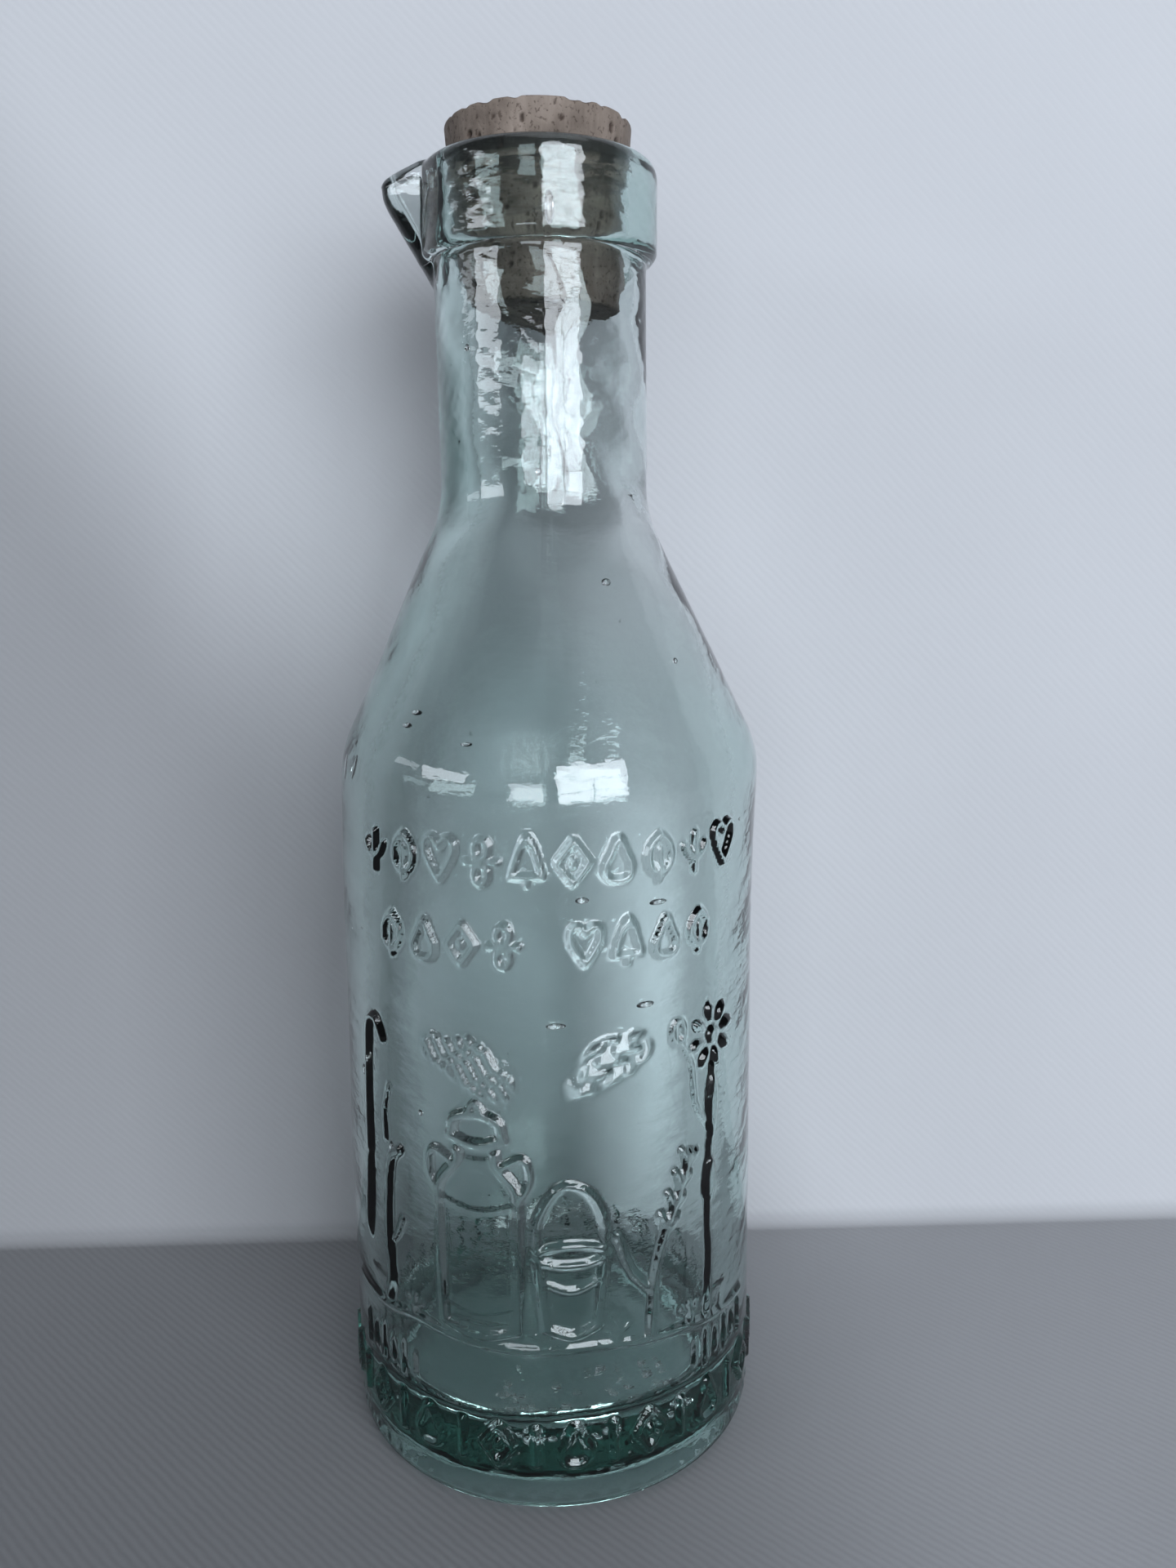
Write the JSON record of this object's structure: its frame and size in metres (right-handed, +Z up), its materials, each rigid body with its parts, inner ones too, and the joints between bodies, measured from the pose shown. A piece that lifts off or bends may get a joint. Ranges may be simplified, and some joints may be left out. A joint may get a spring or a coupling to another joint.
{
  "type": "stoppered glass bottle",
  "caption": "Round glass milk bottle with a sloping shoulder, a collared neck with a moulded pouring beak, a raised heel band and a tapered cork in its mouth.",
  "frame": {"origin": "centre of the foot, on the surface the bottle stands on", "axes": "+Z up along the bottle's axis; the pouring beak points along -X"},
  "size_m": [0.0928, 0.0928, 0.277],
  "materials": {
    "glass": "fire-polished recycled glass, pale blue-green, with seeds and slight ripple",
    "cork": "dry natural cork, matte, pitted with dark pores"
  },
  "bodies": {
    "bottle": {"bottle": "glass"},
    "cork": {"cork_stopper": "cork"}
  },
  "joints": [
    {"name": "cork_pull", "type": "slide", "parent": "bottle", "child": "cork", "axis": [0, 0, 1], "range_m": [0, 0.05]}
  ]
}
